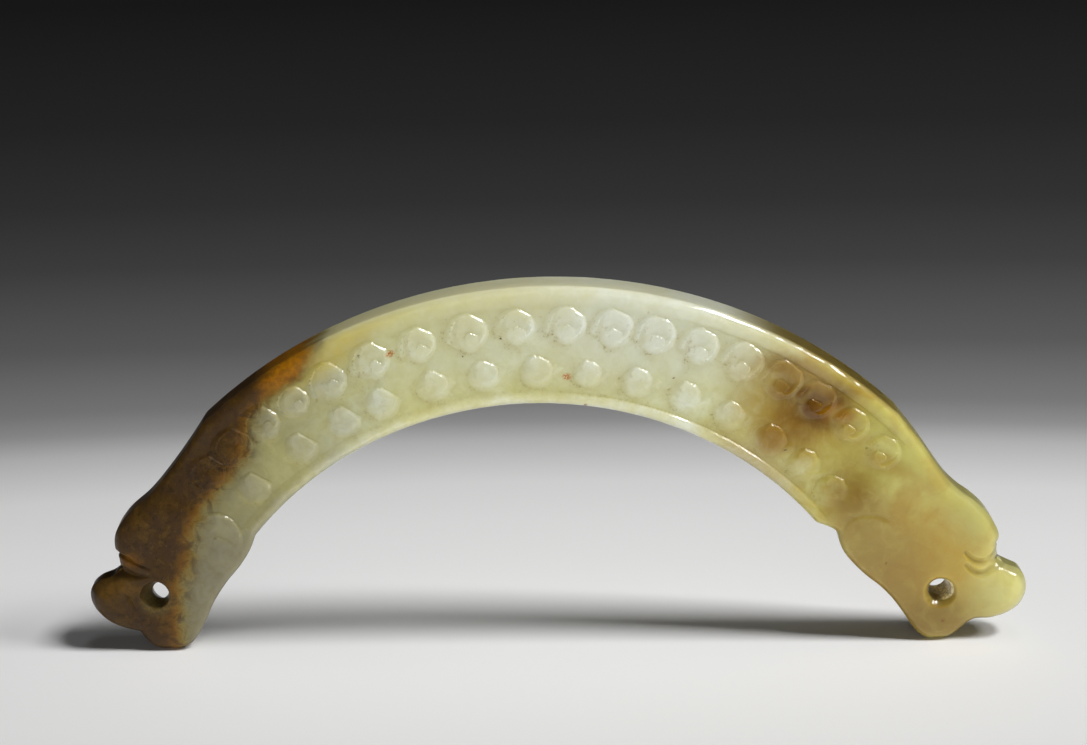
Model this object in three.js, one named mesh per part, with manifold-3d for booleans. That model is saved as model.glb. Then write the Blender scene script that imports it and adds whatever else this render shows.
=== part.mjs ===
// A jade huang: an arched pendant with a dragon's head at each end, carved from one stone.
// Millimetres, +Z up. The front faces -Y, and the pendant stands on the soles of its two chins.

import * as THREE from "three";
import { mergeVertices } from "three/addons/utils/BufferGeometryUtils.js";
import Module from "manifold-3d";

const wasm = await Module();
wasm.setup();

// Stone
const thickness = 5.5;
const arrisRadius = 0.75;
const archTop = 43.95;
const archUnderside = 30.05;
const outerArcRadius = 58.4;
const outerArcOffset = -0.7;
const innerArcRadius = 42.2;
const innerArcOffset = -2.3;

// Carved field between its two border strips
const reliefDepth = 0.4;
const outerBorder = 1.9;
const innerBorder = 1.3;
const fieldEndAngle = 49.5;
const fieldRootAngle = 49;

// Curls in the field
const curlRadius = 2.35;
const outerCurlGap = 0.3;
const innerCurlGap = 0.6;
const crestWidth = 1.25;
const tailTipWidth = 0.5;
const tailTipHeightShare = 0.33;
const bulbRadius = 1.25;
const bulbCrown = 0.75;
const bulbShoulderShare = 0.2;

// Heads
const leftHeadReach = 19.88;
const leftRootHeight = 14.35;
const rightHeadReach = 25.01;
const rightRootHeight = 15.05;
const eyePocketRadius = 3.3;
const eyeCurlRadius = 3.05;
const grooveWidth = 0.8;
const grooveDepth = 0.5;
const grooveStartShare = 0.25;
const notchDepth = 0.55;
const notchWidth = 0.8;

// Cord holes, drilled from both faces. The left one is two long cones that meet at a narrow waist.
// The right one is straight, with a shallow cone at each face.
const leftWaistRadius = 1;
const leftMouthRadius = 1.75;
const leftWaistLength = 0.3;
const rightBoreRadius = 1.36;
const rightMouthRadius = 1.95;
const rightMouthDepth = 0.6;

// How far a cutter runs past the stone, and how far an added form sinks into it
const overrun = 1;
const seatDepth = 0.3;

// Steps of the round shapes
const arcSteps = 40;
const headSteps = 46;
const chinSteps = 4;
const jawSteps = 13;
const arrisSteps = 2;
const tailSteps = 6;
const grooveSteps = 5;
const bulbSides = 8;
const boreSides = 18;

// Faces of the stone: -1 is the front, +1 the back
const faces = [-1, 1];
const halfThickness = thickness / 2;
const fieldLevel = halfThickness - reliefDepth;

const outerCentre = new THREE.Vector2(outerArcOffset, archTop - outerArcRadius);
const innerCentre = new THREE.Vector2(innerArcOffset, archUnderside - innerArcRadius);

// Places on a head are shares of its reach from the root and of its height. Up to 1 a height share counts
// from the sole to the root, and above 1 from the root to the neck, where the head leaves the outer arc.
const leftNeckShares = [0.271, 1.969];
const rightNeckShares = [0.366, 1.878];
// Outline of a head, from below the neck over the brow and the snout to the corner of the mouth
const leftProfileShares = [
  [0.36, 1.785], [0.48, 1.56], [0.617, 1.335], [0.75, 1.17], [0.822, 1.02], [0.832, 0.9],
  [0.812, 0.807], [0.812, 0.715], [0.857, 0.64], [0.934, 0.6], [0.99, 0.532], [1, 0.44],
  [0.97, 0.33], [0.893, 0.232], [0.796, 0.181], [0.715, 0.155],
];
const rightProfileShares = [
  [0.469, 1.658], [0.552, 1.458], [0.608, 1.33], [0.668, 1.232], [0.732, 1.153], [0.788, 1.066],
  [0.832, 0.96], [0.86, 0.854], [0.854, 0.781], [0.856, 0.704], [0.876, 0.631], [0.92, 0.59],
  [0.968, 0.551], [0.997, 0.465], [1, 0.36], [0.968, 0.25], [0.904, 0.183], [0.836, 0.16],
  [0.76, 0.156], [0.724, 0.126],
];
// Front of the chin, from the corner of the mouth to the sole
const leftChinShares = [[0.684, 0.084], [0.633, 0.019], [0.577, 0]];
const rightChinShares = [[0.684, 0.06], [0.644, 0.013], [0.612, 0]];
// Jaw, from the sole back up to the root under the arch
const leftJawShares = [
  [0.485, 0], [0.425, 0.038], [0.367, 0.135], [0.316, 0.268], [0.265, 0.42], [0.184, 0.593],
  [0.097, 0.74], [0.036, 0.875], [0, 1],
];
const rightJawShares = [
  [0.544, 0], [0.512, 0.027], [0.473, 0.096], [0.425, 0.219], [0.369, 0.349], [0.309, 0.455],
  [0.241, 0.548], [0.181, 0.648], [0.133, 0.751], [0.111, 0.837], [0.097, 0.92], [0, 1],
];

// Centreline of a curl in shares of its radius, from the middle of its bulb to the tip of its tail.
// In the outer row the hook closes round the bulb. In the inner row the tail sweeps on to the next curl.
const outerCurlShares = [
  [0.1, -0.45], [0.5, -0.55], [0.82, -0.2], [0.84, 0.27], [0.52, 0.72], [0, 0.88], [-0.55, 0.7],
  [-0.87, 0.2], [-0.92, -0.25],
];
const innerCurlShares = [
  [0, 0], [-0.38, -0.28], [-0.2, -0.66], [0.28, -0.76], [0.74, -0.52], [1.08, -0.12], [1.3, 0.18],
];

// Places of the curls along the arch, in degrees from its top
const outerRowAngles = [
  -47.3, -42.6, -37.9, -33.1, -28.1, -22.3, -16.2, -10, -4.1,
  1.9, 7.6, 12.8, 18.3, 23.9, 29.2, 34.2, 39.6, 45,
];
const innerRowAngles = [-45.3, -36.3, -29, -22.8, -15.1, -7.8, -0.3, 7, 14, 21.2, 28.1, 35, 41.2, 46.9];
const eyeTilt = 45;

// Eyes, cord holes, nicks and grooves
const leftEyeShares = [0.22, 1.005];
const rightEyeShares = [0.265, 0.9];
const leftBoreShares = [0.592, 0.515];
const rightBoreShares = [0.588, 0.428];
const leftNotchShares = [[0.835, 0.852], [0.83, 0.7]];
const rightNotchShares = [[0.862, 0.794], [0.872, 0.66]];
// Lines cut into the face of each head: the hollow above the snout and the fold of the mouth on the left,
// and the two nested curves of the nostril on the right
const leftGrooveShares = [
  [[0.62, 0.66], [0.69, 0.665], [0.76, 0.69], [0.84, 0.7]],
  [[0.76, 0.54], [0.735, 0.45], [0.7, 0.34]],
];
const rightGrooveShares = [
  [[0.7, 0.74], [0.735, 0.684], [0.784, 0.66], [0.87, 0.73]],
  [[0.705, 0.64], [0.739, 0.59], [0.78, 0.568], [0.82, 0.6], [0.875, 0.68]],
];

// A point on a circle, at an angle in degrees clockwise from its top.
function onCircle(centre, radius, angle) {
  const turn = THREE.MathUtils.degToRad(angle);
  return new THREE.Vector2(centre.x + radius * Math.sin(turn), centre.y + radius * Math.cos(turn));
}

function arcPoints(centre, radius, startAngle, endAngle, steps) {
  const points = [];
  for (let i = 0; i <= steps; i += 1) {
    points.push(onCircle(centre, radius, THREE.MathUtils.lerp(startAngle, endAngle, i / steps)));
  }
  return points;
}

function splinePoints(points, steps) {
  const through = points.map((p) => new THREE.Vector3(p.x, p.y, 0));
  const curve = new THREE.CatmullRomCurve3(through, false, "centripetal");
  return curve.getSpacedPoints(steps).map((p) => new THREE.Vector2(p.x, p.y));
}

// Where the underside of the arch comes down to a height: the root of a head.
function rootAngle(rootHeight) {
  return THREE.MathUtils.radToDeg(Math.acos((rootHeight - innerCentre.y) / innerArcRadius));
}

// A head's frame: its side (-1 left, +1 right), its root under the arch, its neck on the outer arc,
// and the heights that a share of 1 stands for below the root and above it.
function makeHead(side, reach, rootHeight, neckShares) {
  const root = onCircle(innerCentre, innerArcRadius, side * rootAngle(rootHeight));
  const neckX = root.x + side * neckShares[0] * reach;
  const neckAngle = THREE.MathUtils.radToDeg(Math.asin((neckX - outerCentre.x) / outerArcRadius));
  const neck = onCircle(outerCentre, outerArcRadius, neckAngle);
  const upperHeight = (neck.y - rootHeight) / (neckShares[1] - 1);
  return { side, reach, rootHeight, upperHeight, root, neck, neckAngle };
}

function onHead(head, shares) {
  const below = Math.min(shares[1], 1) * head.rootHeight;
  const above = Math.max(shares[1] - 1, 0) * head.upperHeight;
  return new THREE.Vector2(head.root.x + head.side * shares[0] * head.reach, below + above);
}

const leftHead = makeHead(-1, leftHeadReach, leftRootHeight, leftNeckShares);
const rightHead = makeHead(1, rightHeadReach, rightRootHeight, rightNeckShares);

// The outline of one head, from the neck round the snout and the chin to the root.
function headOutline(head, profileShares, chinShares, jawShares) {
  const profile = splinePoints([head.neck, ...profileShares.map((s) => onHead(head, s))], headSteps);
  const mouth = profile[profile.length - 1];
  const chin = splinePoints([mouth, ...chinShares.map((s) => onHead(head, s))], chinSteps);
  const jaw = splinePoints(jawShares.map((s) => onHead(head, s)), jawSteps);
  return [...profile, ...chin.slice(1), ...jaw];
}

// The whole outline, clockwise from the left neck: top of the arch, right head, underside, left head.
function stoneOutline() {
  const top = arcPoints(outerCentre, outerArcRadius, leftHead.neckAngle, rightHead.neckAngle, arcSteps);
  const right = headOutline(rightHead, rightProfileShares, rightChinShares, rightJawShares);
  const underside = arcPoints(
    innerCentre, innerArcRadius, rootAngle(rightRootHeight), -rootAngle(leftRootHeight), arcSteps,
  );
  const left = headOutline(leftHead, leftProfileShares, leftChinShares, leftJawShares).reverse();
  return [...top, ...right.slice(1), ...underside.slice(1), ...left.slice(1, -1)];
}

function toSolid(geometry) {
  const bare = geometry.clone();
  bare.deleteAttribute("normal");
  bare.deleteAttribute("uv");
  const merged = mergeVertices(bare);
  const vertProperties = new Float32Array(merged.attributes.position.array);
  const triVerts = new Uint32Array(merged.index.array);
  return new wasm.Manifold(new wasm.Mesh({ numProp: 3, vertProperties, triVerts }));
}

function toGeometry(solid) {
  const mesh = solid.getMesh();
  const geometry = new THREE.BufferGeometry();
  geometry.setAttribute("position", new THREE.BufferAttribute(new Float32Array(mesh.vertProperties), 3));
  geometry.setIndex(new THREE.BufferAttribute(new Uint32Array(mesh.triVerts), 1));
  const faceted = geometry.toNonIndexed();
  faceted.computeVertexNormals();
  return faceted;
}

// A flat outline in X and Z, extruded along Y between two levels, with rounded edges if asked.
function plate(points, lowY, highY, rounding) {
  const depth = highY - lowY - 2 * rounding;
  const geometry = new THREE.ExtrudeGeometry(new THREE.Shape(points), {
    depth,
    bevelEnabled: rounding > 0,
    bevelSize: rounding,
    bevelOffset: -rounding,
    bevelThickness: rounding,
    bevelSegments: arrisSteps,
    steps: 1,
  });
  geometry.rotateX(Math.PI / 2);
  geometry.translate(0, highY - rounding, 0);
  return toSolid(geometry);
}

// A cut or an added form lies between two depths below a face, measured from the stone's middle.
function plateOnFace(points, face, innerLevel, outerLevel) {
  return face > 0 ? plate(points, innerLevel, outerLevel, 0) : plate(points, -outerLevel, -innerLevel, 0);
}

// Joins rings of equal length into one closed body, with its two ends capped, and faces it outwards.
function loft(rings) {
  const size = rings[0].length;
  const positions = rings.flat().flatMap((p) => [p.x, p.y, p.z]);
  const index = [];
  for (let r = 0; r + 1 < rings.length; r += 1) {
    for (let k = 0; k < size; k += 1) {
      const a = r * size + k;
      const b = r * size + ((k + 1) % size);
      index.push(a, b, b + size, a, b + size, a + size);
    }
  }
  const last = (rings.length - 1) * size;
  for (let k = 1; k + 1 < size; k += 1) {
    index.push(0, k + 1, k, last, last + k, last + k + 1);
  }
  if (signedVolume(positions, index) < 0) index.reverse();
  const geometry = new THREE.BufferGeometry();
  geometry.setAttribute("position", new THREE.Float32BufferAttribute(positions, 3));
  geometry.setIndex(index);
  return toSolid(geometry);
}

function signedVolume(positions, index) {
  const corner = (i) => new THREE.Vector3().fromArray(positions, 3 * index[i]);
  let volume = 0;
  for (let i = 0; i < index.length; i += 3) {
    volume += corner(i).dot(corner(i + 1).cross(corner(i + 2)));
  }
  return volume;
}

// A three-sided bar along a line on a face, with widths and edge levels for the line's two ends.
function wedgeAlong(line, steps, face, widths, baseLevel, edgeLevels) {
  const points = splinePoints(line, steps);
  const rings = points.map((point, i) => {
    const before = points[Math.max(i - 1, 0)];
    const after = points[Math.min(i + 1, steps)];
    const across = new THREE.Vector2(before.y - after.y, after.x - before.x).normalize();
    const along = i / steps;
    const half = THREE.MathUtils.lerp(widths[0], widths[1], along) / 2;
    const edge = THREE.MathUtils.lerp(edgeLevels[0], edgeLevels[1], along);
    return [
      new THREE.Vector3(point.x + across.x * half, face * baseLevel, point.y + across.y * half),
      new THREE.Vector3(point.x, face * edge, point.y),
      new THREE.Vector3(point.x - across.x * half, face * baseLevel, point.y - across.y * half),
    ];
  });
  return loft(rings);
}

// A raised curl: a domed bulb, and a crested tail that winds out of it and tapers to its tip.
function curl(centre, tilt, radius, shares, face) {
  const turn = -THREE.MathUtils.degToRad(tilt);
  const line = shares.map(([x, y]) => new THREE.Vector2(x, y).multiplyScalar(radius)
    .rotateAround(new THREE.Vector2(), turn).add(centre));
  const size = radius / curlRadius;
  const tail = wedgeAlong(
    line, tailSteps, face, [crestWidth * size, tailTipWidth * size],
    fieldLevel - seatDepth, [halfThickness, fieldLevel + tailTipHeightShare * reliefDepth],
  );
  const dome = new THREE.LatheGeometry([
    new THREE.Vector2(0, fieldLevel - seatDepth),
    new THREE.Vector2(bulbRadius * size, fieldLevel - seatDepth),
    new THREE.Vector2(bulbCrown * size, halfThickness - bulbShoulderShare * reliefDepth),
    new THREE.Vector2(0, halfThickness),
  ], bulbSides);
  if (face < 0) dome.rotateX(Math.PI);
  dome.translate(line[0].x, 0, line[0].y);
  return tail.add(toSolid(dome));
}

// The band between the two border strips, sunk into each face.
function fieldCut(face) {
  const topRadius = outerArcRadius - outerBorder;
  const bottomRadius = innerArcRadius + innerBorder;
  const top = arcPoints(outerCentre, topRadius, -fieldEndAngle, fieldEndAngle, arcSteps);
  const bottom = arcPoints(innerCentre, bottomRadius, fieldRootAngle, -fieldRootAngle, arcSteps);
  return plateOnFace([...top, ...bottom], face, fieldLevel, halfThickness + overrun);
}

function eyePocket(head, shares, face) {
  const rim = arcPoints(onHead(head, shares), eyePocketRadius, 0, 360, boreSides).slice(0, -1);
  return plateOnFace(rim, face, fieldLevel, halfThickness + overrun);
}

// A cord hole with a cone at each face, as it is drilled from both sides.
function bore(head, shares, waistRadius, mouthRadius, coneDepth) {
  const throat = halfThickness - coneDepth;
  const flare = (mouthRadius - waistRadius) / coneDepth;
  const mouth = mouthRadius + flare * overrun;
  const cutter = new THREE.LatheGeometry([
    new THREE.Vector2(0, -halfThickness - overrun),
    new THREE.Vector2(mouth, -halfThickness - overrun),
    new THREE.Vector2(waistRadius, -throat),
    new THREE.Vector2(waistRadius, throat),
    new THREE.Vector2(mouth, halfThickness + overrun),
    new THREE.Vector2(0, halfThickness + overrun),
  ], boreSides);
  const place = onHead(head, shares);
  cutter.translate(place.x, 0, place.y);
  return toSolid(cutter);
}

// A nick in the edge, through the whole thickness: its point lies inside the outline.
function edgeNotch(head, shares) {
  const mouth = onHead(head, shares);
  const reach = notchDepth + overrun;
  const half = notchWidth * reach / notchDepth / 2;
  return plate([
    new THREE.Vector2(mouth.x - head.side * notchDepth, mouth.y),
    new THREE.Vector2(mouth.x + head.side * overrun, mouth.y + half),
    new THREE.Vector2(mouth.x + head.side * overrun, mouth.y - half),
  ], -halfThickness - overrun, halfThickness + overrun, 0);
}

// A line cut into the face of a head, shallow at its start and deepest where it meets the edge.
// Its walls slope alike all along, so the cutter is as much wider above the face as it is deeper below.
function faceGroove(head, shares, face) {
  const line = shares.map((s) => onHead(head, s));
  const slope = grooveWidth / grooveDepth;
  const startDepth = grooveStartShare * grooveDepth;
  return wedgeAlong(
    line, grooveSteps, face, [slope * (startDepth + overrun), slope * (grooveDepth + overrun)],
    halfThickness + overrun, [halfThickness - startDepth, halfThickness - grooveDepth],
  );
}

// All that is cut out of the stone: the cord holes, the nicks in the snouts, and the carving of each face.
function carvedCuts() {
  const leftConeDepth = halfThickness - leftWaistLength / 2;
  const cuts = [
    bore(leftHead, leftBoreShares, leftWaistRadius, leftMouthRadius, leftConeDepth),
    bore(rightHead, rightBoreShares, rightBoreRadius, rightMouthRadius, rightMouthDepth),
    ...leftNotchShares.map((shares) => edgeNotch(leftHead, shares)),
    ...rightNotchShares.map((shares) => edgeNotch(rightHead, shares)),
  ];
  for (const face of faces) {
    cuts.push(
      fieldCut(face),
      eyePocket(leftHead, leftEyeShares, face),
      eyePocket(rightHead, rightEyeShares, face),
      ...leftGrooveShares.map((shares) => faceGroove(leftHead, shares, face)),
      ...rightGrooveShares.map((shares) => faceGroove(rightHead, shares, face)),
    );
  }
  return cuts;
}

// All that stands up in the sunken fields: two rows of curls, and a large curl for each eye.
function raisedForms() {
  const outerRowRadius = outerArcRadius - outerBorder - outerCurlGap - curlRadius;
  const innerRowRadius = innerArcRadius + innerBorder + innerCurlGap + curlRadius;
  const forms = [];
  for (const face of faces) {
    for (const angle of outerRowAngles) {
      const place = onCircle(outerCentre, outerRowRadius, angle);
      forms.push(curl(place, angle, curlRadius, outerCurlShares, face));
    }
    for (const angle of innerRowAngles) {
      const place = onCircle(innerCentre, innerRowRadius, angle);
      forms.push(curl(place, angle, curlRadius, innerCurlShares, face));
    }
    forms.push(curl(onHead(leftHead, leftEyeShares), -eyeTilt, eyeCurlRadius, outerCurlShares, face));
    forms.push(curl(onHead(rightHead, rightEyeShares), eyeTilt, eyeCurlRadius, outerCurlShares, face));
  }
  return forms;
}

let stone = plate(stoneOutline(), -halfThickness, halfThickness, arrisRadius);
for (const cut of carvedCuts()) stone = stone.subtract(cut);
for (const form of raisedForms()) stone = stone.add(form);

// Translucent celadon nephrite with a soft polish
const nephrite = new THREE.MeshStandardMaterial({ color: 0xc9cda6, roughness: 0.25, metalness: 0 });
const pendant = new THREE.Mesh(toGeometry(stone), nephrite);
pendant.name = "jade_huang";

const huang = new THREE.Group();
huang.name = "huang_pendant";
huang.add(pendant);

export default huang;
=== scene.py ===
import math

import bmesh
import bpy
import numpy as np
from mathutils import Matrix, Vector


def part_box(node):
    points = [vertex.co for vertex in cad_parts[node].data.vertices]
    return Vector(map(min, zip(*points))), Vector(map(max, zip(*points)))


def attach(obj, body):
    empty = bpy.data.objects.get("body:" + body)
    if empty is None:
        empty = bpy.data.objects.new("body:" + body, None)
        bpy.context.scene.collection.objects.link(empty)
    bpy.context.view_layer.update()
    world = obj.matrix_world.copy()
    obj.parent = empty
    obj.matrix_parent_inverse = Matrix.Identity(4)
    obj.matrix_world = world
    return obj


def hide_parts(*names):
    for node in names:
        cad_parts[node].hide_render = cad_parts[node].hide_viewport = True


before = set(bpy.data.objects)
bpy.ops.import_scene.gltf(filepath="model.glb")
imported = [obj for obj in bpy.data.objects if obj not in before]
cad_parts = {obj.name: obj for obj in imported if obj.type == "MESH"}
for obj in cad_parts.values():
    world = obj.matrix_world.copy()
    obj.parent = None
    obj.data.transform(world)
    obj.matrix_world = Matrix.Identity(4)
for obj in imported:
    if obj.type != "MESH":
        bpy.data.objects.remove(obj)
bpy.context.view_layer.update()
mm = 0.001  # the carving is written in millimetres, Blender holds metres


# Small helpers

def setMode(mode):
    bpy.ops.object.mode_set(mode=mode)


def selectMesh(action):
    bpy.ops.mesh.select_all(action=action)


def normalsOut():
    selectMesh("SELECT")
    bpy.ops.mesh.normals_make_consistent(inside=False)


def deselectAll():
    if bpy.context.mode != "OBJECT":
        setMode("OBJECT")
    bpy.ops.object.select_all(action="DESELECT")


def activate(piece):
    deselectAll()
    piece.select_set(True)
    bpy.context.view_layer.objects.active = piece


def applyModifier(piece, kind, **settings):
    activate(piece)
    modifier = piece.modifiers.new(kind.lower(), kind)
    for name, value in settings.items():
        setattr(modifier, name, value)
    bpy.ops.object.modifier_apply(modifier=modifier.name)


def readVectors(items, name):
    flat = np.empty(len(items) * 3)
    items.foreach_get(name, flat)
    return flat.reshape(-1, 3)


def readPoints(mesh):
    return readVectors(mesh.vertices, "co") / mm


def writePoints(mesh, points):
    mesh.vertices.foreach_set("co", (points * mm).ravel())
    mesh.update()


def ramp(low, high, value):
    return np.clip((value - low) / (high - low), 0, 1)


def smoothStep(low, high, value):
    share = ramp(low, high, value)
    return share * share * (3 - 2 * share)


def lengths(vectors):
    return np.linalg.norm(vectors, axis=1)


def linear(red, green, blue):
    # a colour as a picker shows it, 0 to 255, turned into Blender's linear values
    def one(c):
        c /= 255
        return c / 12.92 if c <= 0.04045 else ((c + 0.055) / 1.055) ** 2.4
    return (one(red), one(green), one(blue), 1)


# Camera

view = {
    "focalPixels": 2350,  # focal length, counted in pixels of the picture
    "pictureWidth": 1087,
    "tiltDown": 17.9,  # degrees
    "roll": 0.79,
    "aim": (-1.42, 0, 33.09),  # mm, the point in the middle of the picture
    "distance": 269.2,
}


def makeCamera():
    tilt, roll = math.radians(view["tiltDown"]), math.radians(view["roll"])
    forward = Vector((0, math.cos(tilt), -math.sin(tilt)))
    level, upright = Vector((1, 0, 0)), Vector((0, math.sin(tilt), math.cos(tilt)))
    right = math.cos(roll) * level - math.sin(roll) * upright
    up = math.sin(roll) * level + math.cos(roll) * upright
    place = Vector(view["aim"]) * mm - forward * view["distance"] * mm
    deselectAll()
    bpy.ops.object.camera_add()
    camera = bpy.context.active_object
    camera.matrix_world = Matrix.Translation(place) @ Matrix((right, up, -forward)).transposed().to_4x4()
    camera.data.sensor_width = 36
    camera.data.lens = camera.data.sensor_width * view["focalPixels"] / view["pictureWidth"]
    camera.data.clip_start = 0.01
    camera.data.clip_end = 20
    bpy.context.scene.camera = camera


makeCamera()
print("camera set")


# Lamps, world and floor

studio = {
    "lamps": {
        "key": {"from": (0.6, -0.17, 1.0), "away": 2.0, "size": (0.46, 0.36), "watts": 23.4},
        "side": {"from": (1.1, -0.2, 1.0), "away": 2.0, "size": (0.46, 0.36), "watts": 12.6},
        "overhead": {"from": (0.1, 0.0, 1.0), "away": 1.1, "size": (0.4, 0.2), "watts": 0.5},
        "card": {"from": (0.1, -1.0, 0.01), "away": 0.9, "size": (1.2, 0.07), "watts": 10, "mirrored": False},
    },
    "lampHeight": 0.022,  # metres, the height that the lamps point at
    "ambient": 0.01,
    "farDark": 0.0105,  # what the camera sees past the floor
    "floorSize": 12,
    "floorPale": 0.82,  # the floor as the stone sees it
    "floorStretch": 0.35,  # depth of the floor's painted pool of light as a share of its width
    "floorReach": 0.5,
    "floorPaintedLightPool": (  # a pool of light painted on the floor, as the camera sees it: metres from the middle, and tone
        (0, 1.0), (0.024, 0.9), (0.038, 0.86), (0.053, 0.79), (0.0615, 0.67), (0.07, 0.545), (0.079, 0.33),
        (0.089, 0.232), (0.12, 0.127), (0.171, 0.065), (0.219, 0.041), (0.3, 0.026), (0.484, 0.0155),
    ),
}


def makeLamp(name, lamp):
    direction = Vector(lamp["from"]).normalized()
    deselectAll()
    place = direction * lamp["away"] + Vector((0, 0, studio["lampHeight"]))
    bpy.ops.object.light_add(type="AREA", location=place)
    made = bpy.context.active_object
    made.name = name + "_lamp"
    made.rotation_euler = direction.to_track_quat("Z", "Y").to_euler()
    made.data.shape = "RECTANGLE"
    made.data.size, made.data.size_y = lamp["size"]
    made.data.energy = lamp["watts"]
    made.visible_glossy = lamp.get("mirrored", True)


def addNode(tree, kind, inputs=None, **settings):
    made = tree.nodes.new("ShaderNode" + kind if kind[:9] != "NodeGroup" else kind)
    for name, value in settings.items():
        setattr(made, name, value)
    for name, value in (inputs or {}).items():
        if isinstance(value, bpy.types.NodeSocket):
            tree.links.new(value, made.inputs[name])
        else:
            made.inputs[name].default_value = value
    return made


def maths(tree, operation, *values, clamp=False):
    inputs = dict(enumerate(values))
    return addNode(tree, "Math", inputs, operation=operation, use_clamp=clamp).outputs[0]


def vectorMaths(tree, operation, value, other=None):
    inputs = {0: value}
    if other is not None:
        inputs["Scale" if operation == "SCALE" else 1] = other
    made = addNode(tree, "VectorMath", inputs, operation=operation)
    return made.outputs["Value" if operation == "LENGTH" else "Vector"]


def mixColour(tree, share, low, high, blend="MIX"):
    # a colour of three numbers is one as a picker shows it
    low, high = (linear(*c) if isinstance(c, tuple) and len(c) == 3 else c for c in (low, high))
    inputs = {0: share, 6: low, 7: high}
    return addNode(tree, "Mix", inputs, data_type="RGBA", blend_type=blend).outputs[2]


def mapRange(tree, value, fromLow, fromHigh, toLow=0.0, toHigh=1.0, smooth=True):
    made = addNode(tree, "MapRange", {
        "Value": value, "From Min": fromLow, "From Max": fromHigh, "To Min": toLow, "To Max": toHigh,
    }, interpolation_type="SMOOTHSTEP" if smooth else "LINEAR")
    return made.outputs["Result"]


def noiseAt(tree, place, scale, detail, roughness, distortion=0.0):
    return addNode(tree, "TexNoise", {
        "Vector": place, "Scale": scale, "Detail": detail, "Roughness": roughness, "Distortion": distortion,
    }).outputs


def fillRamp(node, stops):
    # stops are pairs of a place, 0 to 1, and a colour
    for i, (place, colour) in enumerate(stops):
        stop = node.color_ramp.elements[i] if i < 2 else node.color_ramp.elements.new(place)
        stop.position = place
        stop.color = colour


def splitLook(tree, lighting, seen):
    # one shader for the light on the stone, another where the camera or a reflection looks
    path = addNode(tree, "LightPath").outputs
    looks = maths(tree, "MAXIMUM", path["Is Camera Ray"], path["Is Glossy Ray"])
    return addNode(tree, "MixShader", {"Fac": looks, 1: lighting.outputs[0], 2: seen.outputs[0]}).outputs[0]


def emptyTree(owner):
    owner.use_nodes = True
    owner.node_tree.nodes.clear()
    return owner.node_tree


def makeWorld():
    world = bpy.context.scene.world or bpy.data.worlds.new("studio")
    bpy.context.scene.world = world
    tree = emptyTree(world)
    ambient = addNode(tree, "Background", {"Color": (1, 1, 1, 1), "Strength": studio["ambient"]})
    dark = addNode(tree, "Background", {"Color": (1, 1, 1.02, 1), "Strength": studio["farDark"]})
    addNode(tree, "OutputWorld", {"Surface": splitLook(tree, ambient, dark)})


def makeFloor():
    deselectAll()
    bpy.ops.mesh.primitive_plane_add(size=studio["floorSize"])
    floor = bpy.context.active_object
    floor.name = "floor"
    paper = bpy.data.materials.new("paper")
    tree = emptyTree(paper)
    place = addNode(tree, "TexCoord").outputs["Object"]
    away = vectorMaths(tree, "LENGTH", vectorMaths(tree, "MULTIPLY", place, (studio["floorStretch"], 1, 1)))
    # the floor's tones are bright in the middle and fall off outwards: a painted pool of light
    tones = addNode(tree, "ValToRGB", {"Fac": maths(tree, "DIVIDE", away, studio["floorReach"])})
    fillRamp(tones, [(far / studio["floorReach"], (tone,) * 3 + (1,)) for far, tone in studio["floorPaintedLightPool"]])
    seen = addNode(tree, "BsdfDiffuse", {"Color": tones.outputs["Color"]})
    pale = addNode(tree, "BsdfDiffuse", {"Color": (studio["floorPale"],) * 3 + (1,)})
    addNode(tree, "OutputMaterial", {"Surface": splitLook(tree, pale, seen)})
    floor.data.materials.append(paper)


for lampName, lamp in studio["lamps"].items():
    makeLamp(lampName, lamp)
makeWorld()
makeFloor()
bpy.context.scene.view_settings.view_transform = "Standard"
print("studio set")


# The stone's outline: two arcs and a dragon's head at each end

nodeLow, nodeHigh = (np.array(corner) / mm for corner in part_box("jade_huang"))
stone = {
    "halfThickness": nodeHigh[1],
    "arris": 0.6,
    "outerArc": {"radius": 58.4, "offset": -0.7, "top": nodeHigh[2]},
    "innerArc": {"radius": 42.2, "offset": -2.3, "top": 30.05},
    "step": 0.3,  # spacing of the outline's points
    "arrisSegments": 6,
    "arrisProfile": 0.34,  # between a chamfer, 0.25, and a round, 0.5
    "voxel": 0.15,
    "triangles": 192000,
}

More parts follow.
